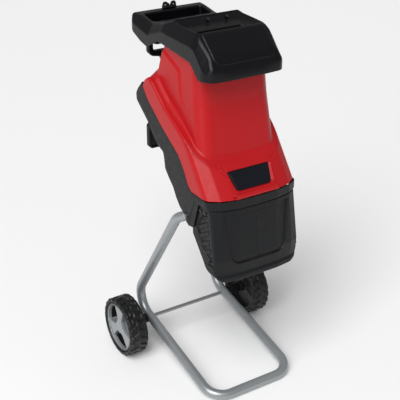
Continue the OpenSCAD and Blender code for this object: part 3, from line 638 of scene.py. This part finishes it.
HOUSING = [(8, 746), (60, 803), (60, 960), (-400, 960), (-400, 500), (-330, 524), (-242, 524, 2),
           (-217, 458, 4), (-207, 452, 5), (-196, 455, 5), (-190, 466, 8), (-184, 473, 8), (-166, 484, 20),
           (-148, 503, 20), (-135, 524, 20), (-116, 540, 20), (-98, 559, 12), (-95, 578, 20), (-90, 598, 9),
           (-66, 606, 25), (-42, 625, 25), (-19, 651, 30), (36, 692, 12), (38, 711, 12), (27, 727, 12)]
HOUSING_INSIDE = [(3.2, 960), (3.2, 736), (22.5, 722.5), (34.6, 709.6), (32.8, 694), (-21, 654.5),
                  (-44.5, 627.6), (-67.5, 609), (-92.6, 600.7), (-98, 579), (-101, 560.5), (-118.5, 542),
                  (-137.5, 526), (-150.5, 504.8), (-168, 486.8), (-186, 475.6), (-196, 466), (-216, 462),
                  (-240, 500), (-250, 440), (-400, 440), (-400, 960)]
# Apron that covers the joint between housing and chute at the sides
SKIRT = [(-252, 530), (-229, 457, 5), (-205, 453), (-205, 530)]
# Motor barrel, in the cutter frame
BULGE_R = 55
MOTOR_AT = 24
BULGE_END = -138
EAR_AT = 57.5
# Opening for the switch unit, low and high corner, in the cutter frame
SWITCH = ((90, 19.7, -46.3), (140, 120.3, -5.7))
STRUT_END = ((115, -157, 452), (90.7, -208, 480))
BOLT = (-198.3, 474.7)


def motor_housing_solid(x, y, z):
    across = np.abs(x)
    side = outline_distance(rounded(HOUSING), y, z)
    front = front_distance(across, y + 316.6)
    form = both(both(side, across - BODY_X, 7), front, 3)
    below_seam = -outline_distance(rounded(ABOVE_SEAM), y, z + SEAM_GAP)
    step = ramp01(-(outline_distance(rounded(HOUSING), y, z) + 7)/3)
    form = np.maximum(form, across - BODY_X + 1.2*(1 - step))
    cavity = both(outline_distance(HOUSING_INSIDE, y, z), across - BODY_X + WALL + 1.2)
    cavity = both(cavity, front + WALL, 2)
    y_cut, z_cut = turned(y, z, CUTTER, SEAM_TILT)
    around_motor = np.hypot(x, y_cut - MOTOR_AT)
    bulge = np.maximum(around_motor - BULGE_R, np.maximum(BULGE_END - z_cut, z_cut + 50))
    belly = block(x, y_cut, z_cut, (-58, -34, -60.5), (58, 30, -46), 3)
    form = either(either(form, bulge, 5), belly, 3)
    ear_off = EAR_AT*math.sqrt(0.5)
    for y_ear in (ear_off, -ear_off):
        ear = np.hypot(across - ear_off, y_cut - MOTOR_AT - y_ear) - 5.5
        form = either(form, np.maximum(ear, np.maximum(BULGE_END - z_cut, z_cut - BULGE_END - 18)), 2)
    cavity = np.minimum(cavity, np.maximum(around_motor - BULGE_R + WALL, z_cut + 45))
    cavity = np.minimum(cavity, block(x, y_cut, z_cut, (-55, -40, -57.5), (55, 24, -37.5)))
    form = without(form, cavity, 0.5)
    form = both(form, below_seam, 0.9)
    form = without(form, block(x, y_cut, z_cut, *SWITCH), 0.8)
    y_lock, z_lock = turned(y, z, LOCK, LOCK_TILT)
    boss = np.maximum(np.hypot(x, y_lock) - 12, np.maximum(-24 - z_lock, z_lock + 1))
    form = either(form, boss, 2)
    form = without(form, block(x, y_lock, z_lock, (-30, -40, -0.8), (30, 26, 39)))
    form = without(form, np.maximum(np.hypot(x, y_lock) - 4.8, -30 - z_lock))
    y_hinge, z_hinge = y - HINGE[0], z - HINGE[1]
    ring = np.hypot(y_hinge, z_hinge) - 4
    leg = capsule(0*x, y_hinge, z_hinge, (0, 0, 0), (0, 9, -9), 2.4)
    foot = np.maximum(np.maximum(-5 - y_hinge, y_hinge - 11), np.maximum(-22 - z_hinge, z_hinge + 8))
    profile = np.minimum(ring, np.minimum(leg, foot))
    for lug in LUG_X:
        form = np.minimum(form, np.maximum(profile, np.abs(across - lug) - 3))
    from_bolt = np.hypot(y - BOLT[0], z - BOLT[1])
    bolt_boss = np.maximum(from_bolt - 11, np.maximum(across - BODY_X + 0.4, 117 - across))
    form = either(form, bolt_boss, 2)
    skirt = outline_distance(rounded(SKIRT), y, z)
    form = np.minimum(form, both(both(skirt, np.abs(across - 121.2) - 1.6, 0.8), front + 8))
    form = without(form, capsule(across, y, z, *STRUT_END, 13.6), 1)
    return without(form, from_bolt - 4.3)


# ---------------------------------------------------------------- discharge chute

CHUTE = [(-242.6, 523.4), (-345, 523.4), (-345, 345), (-306, 345, 8), (-293, 353, 12), (-279, 366, 30),
         (-265, 385, 40), (-242, 412, 30), (-219.5, 438, 6), (-218.5, 452, 2)]
CHUTE_INSIDE = [(-245, 640), (-400, 640), (-400, 352), (-310, 352), (-298, 340), (-270, 330), (-190, 400),
                (-222, 460)]
# Heights and where the middle of the front stands there, then heights and how far its corners are set back
CHUTE_FRONT_LINE = [(330, -330.6), (357, -330.6), (364, -327.2), (402, -330.4), (523.4, -316.4),
                    (600, -307.6)]
CHUTE_CORNERS = [(345, 0.60), (400, 0.66), (523, 1.0)]
CHUTE_FACE = [(-118, 523), (-118, 640), (118, 640), (118, 523), (119, 345, 32), (-119, 345, 32)]
# How much the front's slant thins the sink of its details, from the middle out to the side
FRONT_SLANT = [(0, 1), (60, 0.97), (90, 0.88), (119, 0.8)]
CHUTE_SCREW_Y = (-254, -274)
CHUTE_SCREW_Z = 512
WINDOW = [(-92, 514, 5), (92, 514, 5), (76, 388, 26), (-76, 388, 26)]
GRIP = [(-283, 512, 5), (-262, 506, 5), (-237, 470, 8), (-243, 448, 12), (-266, 412, 12), (-290, 394, 6),
        (-308, 398, 6), (-296, 440, 30)]
RIDGE_PITCH = 24


def discharge_chute_solid(x, y, z):
    sides = outline_distance(rounded(CHUTE_FACE), x, z)
    middle = curve_value(CHUTE_FRONT_LINE, z, 3)
    set_back = np.interp(z, *zip(*CHUTE_CORNERS))
    curve = curve_value(FRONT_CURVE, np.abs(x), 5)*set_back
    front = (middle + curve - y)*np.interp(np.abs(x), *zip(*FRONT_SLANT))
    window = outline_distance(rounded(WINDOW), x, z)
    sunk = 4.6*ramp01(-window/4)
    rib = 2.0*ramp01((3.0 - np.abs(x))/2.0)*ramp01(-(window + 3)/6)
    grip_line = outline_distance(rounded(GRIP), y, z)
    grip = 3.4*ramp01(-grip_line/2.4)
    wave = np.sin((y*0.6 + z)*2*math.pi/RIDGE_PITCH)
    ridges = 2.4*ramp01(0.5 + 1.1*wave)*ramp01(-(grip_line + 3)/3)
    form = both(sides + grip - ridges, front + sunk - rib, 4.0)
    form = both(form, outline_distance(rounded(CHUTE), y, z), 1.6)
    rib_bar = block(x, y, z, (114, -311, 383), (121.3, -286, 389), 1.6)
    form = either(form, rib_bar, 1)
    hollow = both(sides + WALL + grip, outline_distance(CHUTE_INSIDE, y, z))
    hollow = both(hollow, front + WALL + sunk, 3)
    form = without(form, hollow, 0.6)
    for y_screw in CHUTE_SCREW_Y:
        form = without(form, np.hypot(y - y_screw, z - CHUTE_SCREW_Z) - 2.4)
    return form


def make_discharge_chute():
    piece = moulded("chute", discharge_chute_solid, (0, -335, 341), (123, -212, 528), 1.5, 70000)
    return dress(piece, "base", "black_plastic", "discharge_chute")


def make_motor_housing():
    low, high = (-BODY_X - 3, -322, 448), (BODY_X + 3, 48, 756)
    piece = moulded("black_housing", motor_housing_solid, low, high, 1.8, 120000, halves=False)
    return dress(piece, "base", "black_plastic", "motor_housing")


# ---------------------------------------------------------------- wheels

WHEEL_R = (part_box("tyre_left")[1].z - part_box("tyre_left")[0].z)/2/MM
TYRE_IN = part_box("tyre_right")[0].x/MM
TYRE_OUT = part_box("tyre_right")[1].x/MM
TREAD_LUGS = 22
HUB_BORE_R = 5.4


def ring_mesh(name, radius, rows, columns, side):
    """Closed ring about the axle: radius(turn, row) gives (x, r) for the row-th point of its section."""
    points = []
    for i in range(columns):
        turn = 2*math.pi*i/columns
        for j in range(rows):
            across, r = radius(turn, j)
            points.append((side*across, AXLE_Y + r*math.sin(turn), AXLE_Z + r*math.cos(turn)))
    quads = []
    for i in range(columns):
        for j in range(rows):
            a, b = i*rows + j, i*rows + (j + 1) % rows
            c, d = (i + 1) % columns*rows + (j + 1) % rows, (i + 1) % columns*rows + j
            quads.append((a, b, c, d) if side < 0 else (d, c, b, a))
    piece = link(name, quad_mesh(name, np.array(points)*MM, np.array(quads)))
    piece.data.shade_smooth()
    return piece


def make_tyre(side, name, node, body):
    width = TYRE_OUT - TYRE_IN
    tread = 44
    section = [(TYRE_OUT - 3.5, 69.2), (TYRE_OUT - 1.5, 70), (TYRE_OUT - 0.6, 71.5), (TYRE_OUT, 73.5)]
    inner = [(TYRE_IN, 73.5), (TYRE_IN + 0.6, 71.5), (TYRE_IN + 1.5, 70), (TYRE_IN + 3.5, 69.2)]

    def radius(turn, row):
        if row < len(section):
            return section[row]
        if row >= len(section) + tread:
            return inner[row - len(section) - tread]
        across = 1 - 2*(row - len(section))/(tread - 1)
        shoulder = max(0, (abs(across) - 0.82)/0.18)
        crown = WHEEL_R - 4.4*shoulder**2
        lean = 0.5*abs(across)
        phase = (turn*TREAD_LUGS/(2*math.pi) + lean + (0.5 if across > 0 else 0)) % 1
        lug = float(ramp01((0.30 - abs(phase - 0.5))/0.05))
        centre = float(ramp01((0.10 - abs(across))/0.03))
        groove = float(ramp01((0.035 - abs(abs(across) - 0.56))/0.02))
        fade = 1 - 0.4*max(0.0, abs(across) - 0.93)/0.07
        height = max(lug*(1 - groove), centre)*fade
        return TYRE_IN + width*(0.5 + 0.5*across), crown - 4.2*(1 - height)

    rows = len(section) + tread + len(inner)
    piece = ring_mesh(name, radius, rows, TREAD_LUGS*20, side)
    return dress(piece, body, "tyre_black", node)


def spokes(u, v, narrow, wide, from_r, to_r):
    """Three spokes that widen from the hub to the ring."""
    result = None
    for k in range(3):
        a = math.radians(90 + 120*k)
        along, off = u*math.cos(a) + v*math.sin(a), np.abs(v*math.cos(a) - u*math.sin(a))
        half = narrow + (wide - narrow)*np.clip((along - from_r)/(to_r - from_r), 0, 1)**1.5
        bar = np.maximum(off - half, -along)
        result = bar if result is None else np.minimum(result, bar)
    return result


def wheel_cover_solid(x, y, z):
    u, v = y, z - AXLE_Z
    r = np.hypot(u, v)
    face = TYRE_OUT - 5.5 + 1.5*ramp01((30 - r)/20) - 2.2*ramp01((r - 58)/3)*ramp01((62 - r)/2)
    web = both(r - 64, spokes(u, v, 9, 24, 14, 58), 0)
    web = either(web, r - 17, 6)
    ring = both(r - 67.4, 61 - r)
    flat = either(web, ring, 4)
    lip = TYRE_OUT - 2.6 - 0.08*np.abs(r - 64)
    top = np.where(r > 60.5, lip, face)
    form = both(both(flat, x - top, 1.6), TYRE_OUT - 14 - x, 0.6)
    skirt = both(both(flat + 2.6, -flat - 6.6), both(x - face + 1, TYRE_OUT - 30 - x))
    return either(form, np.maximum(skirt, r - 66), 1)


def wheel_rim_solid(x, y, z):
    u, v = y, z - AXLE_Z
    r = np.hypot(u, v)
    middle, half = (TYRE_OUT + TYRE_IN)/2, (TYRE_OUT - TYRE_IN)/2
    drum = both(np.abs(r - 65) - 3.1, np.abs(x - middle) - half + 2.4, 1)
    web = both(both(r - 64, spokes(u, v, 9, 16, 18, 60), 0), np.abs(x - TYRE_IN - 22) - 9, 1.5)
    hub = both(r - 15, np.abs(x - TYRE_IN - 14) - 13.6, 1)
    # Closed plate behind the spokes: a black sheet that stands in for the painted shade seen through the
    # wheel's openings, and hides the back of the silver cover.
    plate = both(r - 64, np.abs(x - TYRE_OUT + 33) - 1.5)
    form = either(either(either(drum, web, 3), hub, 3), plate, 2)
    return without(form, r - HUB_BORE_R, 0.6)


def make_wheel(side, word):
    body = "wheel_" + word
    make_tyre(side, "tyre_tread_" + word, "tyre_" + word, body)
    for name, node, solid, slot, inner in (
            ("wheel_face_", "wheel_cover_", wheel_cover_solid, "cover_silver", TYRE_OUT - 32),
            ("wheel_drum_", "wheel_rim_", wheel_rim_solid, "rim_black", TYRE_IN - 1)):
        low, high = (inner, -70, AXLE_Z - 70), (TYRE_OUT + 1, 70, AXLE_Z + 70)
        piece = moulded(name + word, solid, low, high, 1.5, 30000, halves=False)
        if side < 0:
            flip(piece)
        dress(piece, body, slot, node + word)


def flip(piece):
    """Mirrors a piece from the right side to the left."""
    mesh = piece.data
    points = np.empty(len(mesh.vertices)*3)
    mesh.vertices.foreach_get("co", points)
    custom = np.zeros((len(mesh.vertices), 3))
    for loop, corner in zip(mesh.loops, mesh.corner_normals):
        custom[loop.vertex_index] = corner.vector
    points = points.reshape(-1, 3)*(-1, 1, 1)
    mesh.vertices.foreach_set("co", points.astype(np.float32).ravel())
    mesh.flip_normals()
    mesh.update()
    mesh.normals_split_custom_set_from_vertices(custom*(-1, 1, 1))


# ---------------------------------------------------------------- tamper, knob, hook and badge

TAMPER_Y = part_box("tamper")[0].y/MM - AXLE_Y
TAMPER_T = 16
TAMPER_SIDE = [(68, 540, 7), (76, 548, 7), (76, 604, 8), (66, 614, 8), (37, 620, 12), (31, 634, 14),
               (31, 768, 14), (37, 780, 8), (60, 784, 8), (71, 795, 10), (71, 832, 12), (61, 842, 12)]
TAMPER = TAMPER_SIDE + [(-u, *rest) for u, *rest in TAMPER_SIDE[::-1]]
TAMPER_LOOP = [(-57, 797, 9), (57, 797, 9), (57, 829, 9), (-57, 829, 9)]


def tamper_solid(x, y, z):
    flat = outline_distance(rounded(TAMPER), x, z)
    loop = outline_distance(rounded(TAMPER_LOOP), x, z)
    middle = TAMPER_Y + TAMPER_T/2
    flat = without(flat, loop)
    sunk = both(flat + 5, z - 775)
    form = both(flat, np.abs(y - middle) - TAMPER_T/2, 4)
    recess = both(sunk, 3.4 - np.abs(y - middle), 0.8)
    return without(form, recess, 1)


def make_tamper():
    low, high = (0, TAMPER_Y - 2, 536), (80, TAMPER_Y + TAMPER_T + 3, 846)
    piece = moulded("tamper_paddle", tamper_solid, low, high, 1.5, 30000)
    return dress(piece, "tamper", "black_plastic", "tamper")


HOOK_FOOT = (80, 893)


def lock_knob_solid(x, y, z):
    y, z = turned(y, z, LOCK, LOCK_TILT)
    r, a = np.hypot(x, y), np.arctan2(x, y)
    lobes = r - 18.6 - 2.6*np.cos(5*a)
    form = both(both(lobes, z - 26.4, 4), 6.4 - z, 1)
    return without(form, np.maximum(r - 9, 25 - z), 1)


def cable_hook_solid(x, y, z):
    y, z = y - HOOK_FOOT[0], z - HOOK_FOOT[1]
    form = block(x, y, z, (-18, -7, 0.2), (18, 7, 6), 2.4)
    for side in (-1, 1):
        ring = np.hypot(np.hypot(x - side*11, z - 8) - 5.2, y) - 2.9
        form = either(form, ring, 2)
        form = either(form, capsule(x, y, z, (side*14, 0, 12.5), (side*4.5, -4, 10), 2.4), 2)
    return form


def badge_solid(x, y, z):
    depth, up = turned(y, z, SLOPE_FOOT, -SLOPE)
    plate = both(both(x - badge_half(up), 21 - up, 8), up - 69, 1.5)
    raised = both(plate + 3.5, 5.6 - depth, 0.8)
    return either(both(both(plate, 6.4 - depth, 0.8), depth - 8.3), both(raised, depth - 7), 0.5)


def make_knob_hook_and_badge():
    low, high = (0, LOCK[0] - 40, LOCK[1] - 10), (24, LOCK[0] + 26, LOCK[1] + 36)
    knob = moulded("star_knob", lock_knob_solid, low, high, 1.0, 16000)
    dress(knob, "lock", "black_plastic", "lock_knob")
    hook = moulded("hook", cable_hook_solid, (0, 68, 889), (24, 90, 920), 0.9, 14000)
    dress(hook, "hopper", "black_plastic", "cable_hook")
    badge = moulded("blank_badge", badge_solid, (0, -318, 556), (64, -250, 612), 1.0, 12000)
    dress(badge, "hopper", "badge", "badge_plate")


# ---------------------------------------------------------------- the scene

bpy.context.scene.view_settings.view_transform = "Standard"
add_camera()
add_world(0.34)
add_sun("sky_key", -52, 50, 2.3, 40)
add_light("low_left", -62, 18, 2.8, 1.2, 16)
add_floor()
paint_cad_nodes()
make_upper_housing()
make_hopper_cap()
make_motor_housing()
make_discharge_chute()
make_wheel(-1, "left")
make_wheel(1, "right")
make_tamper()
make_knob_hook_and_badge()
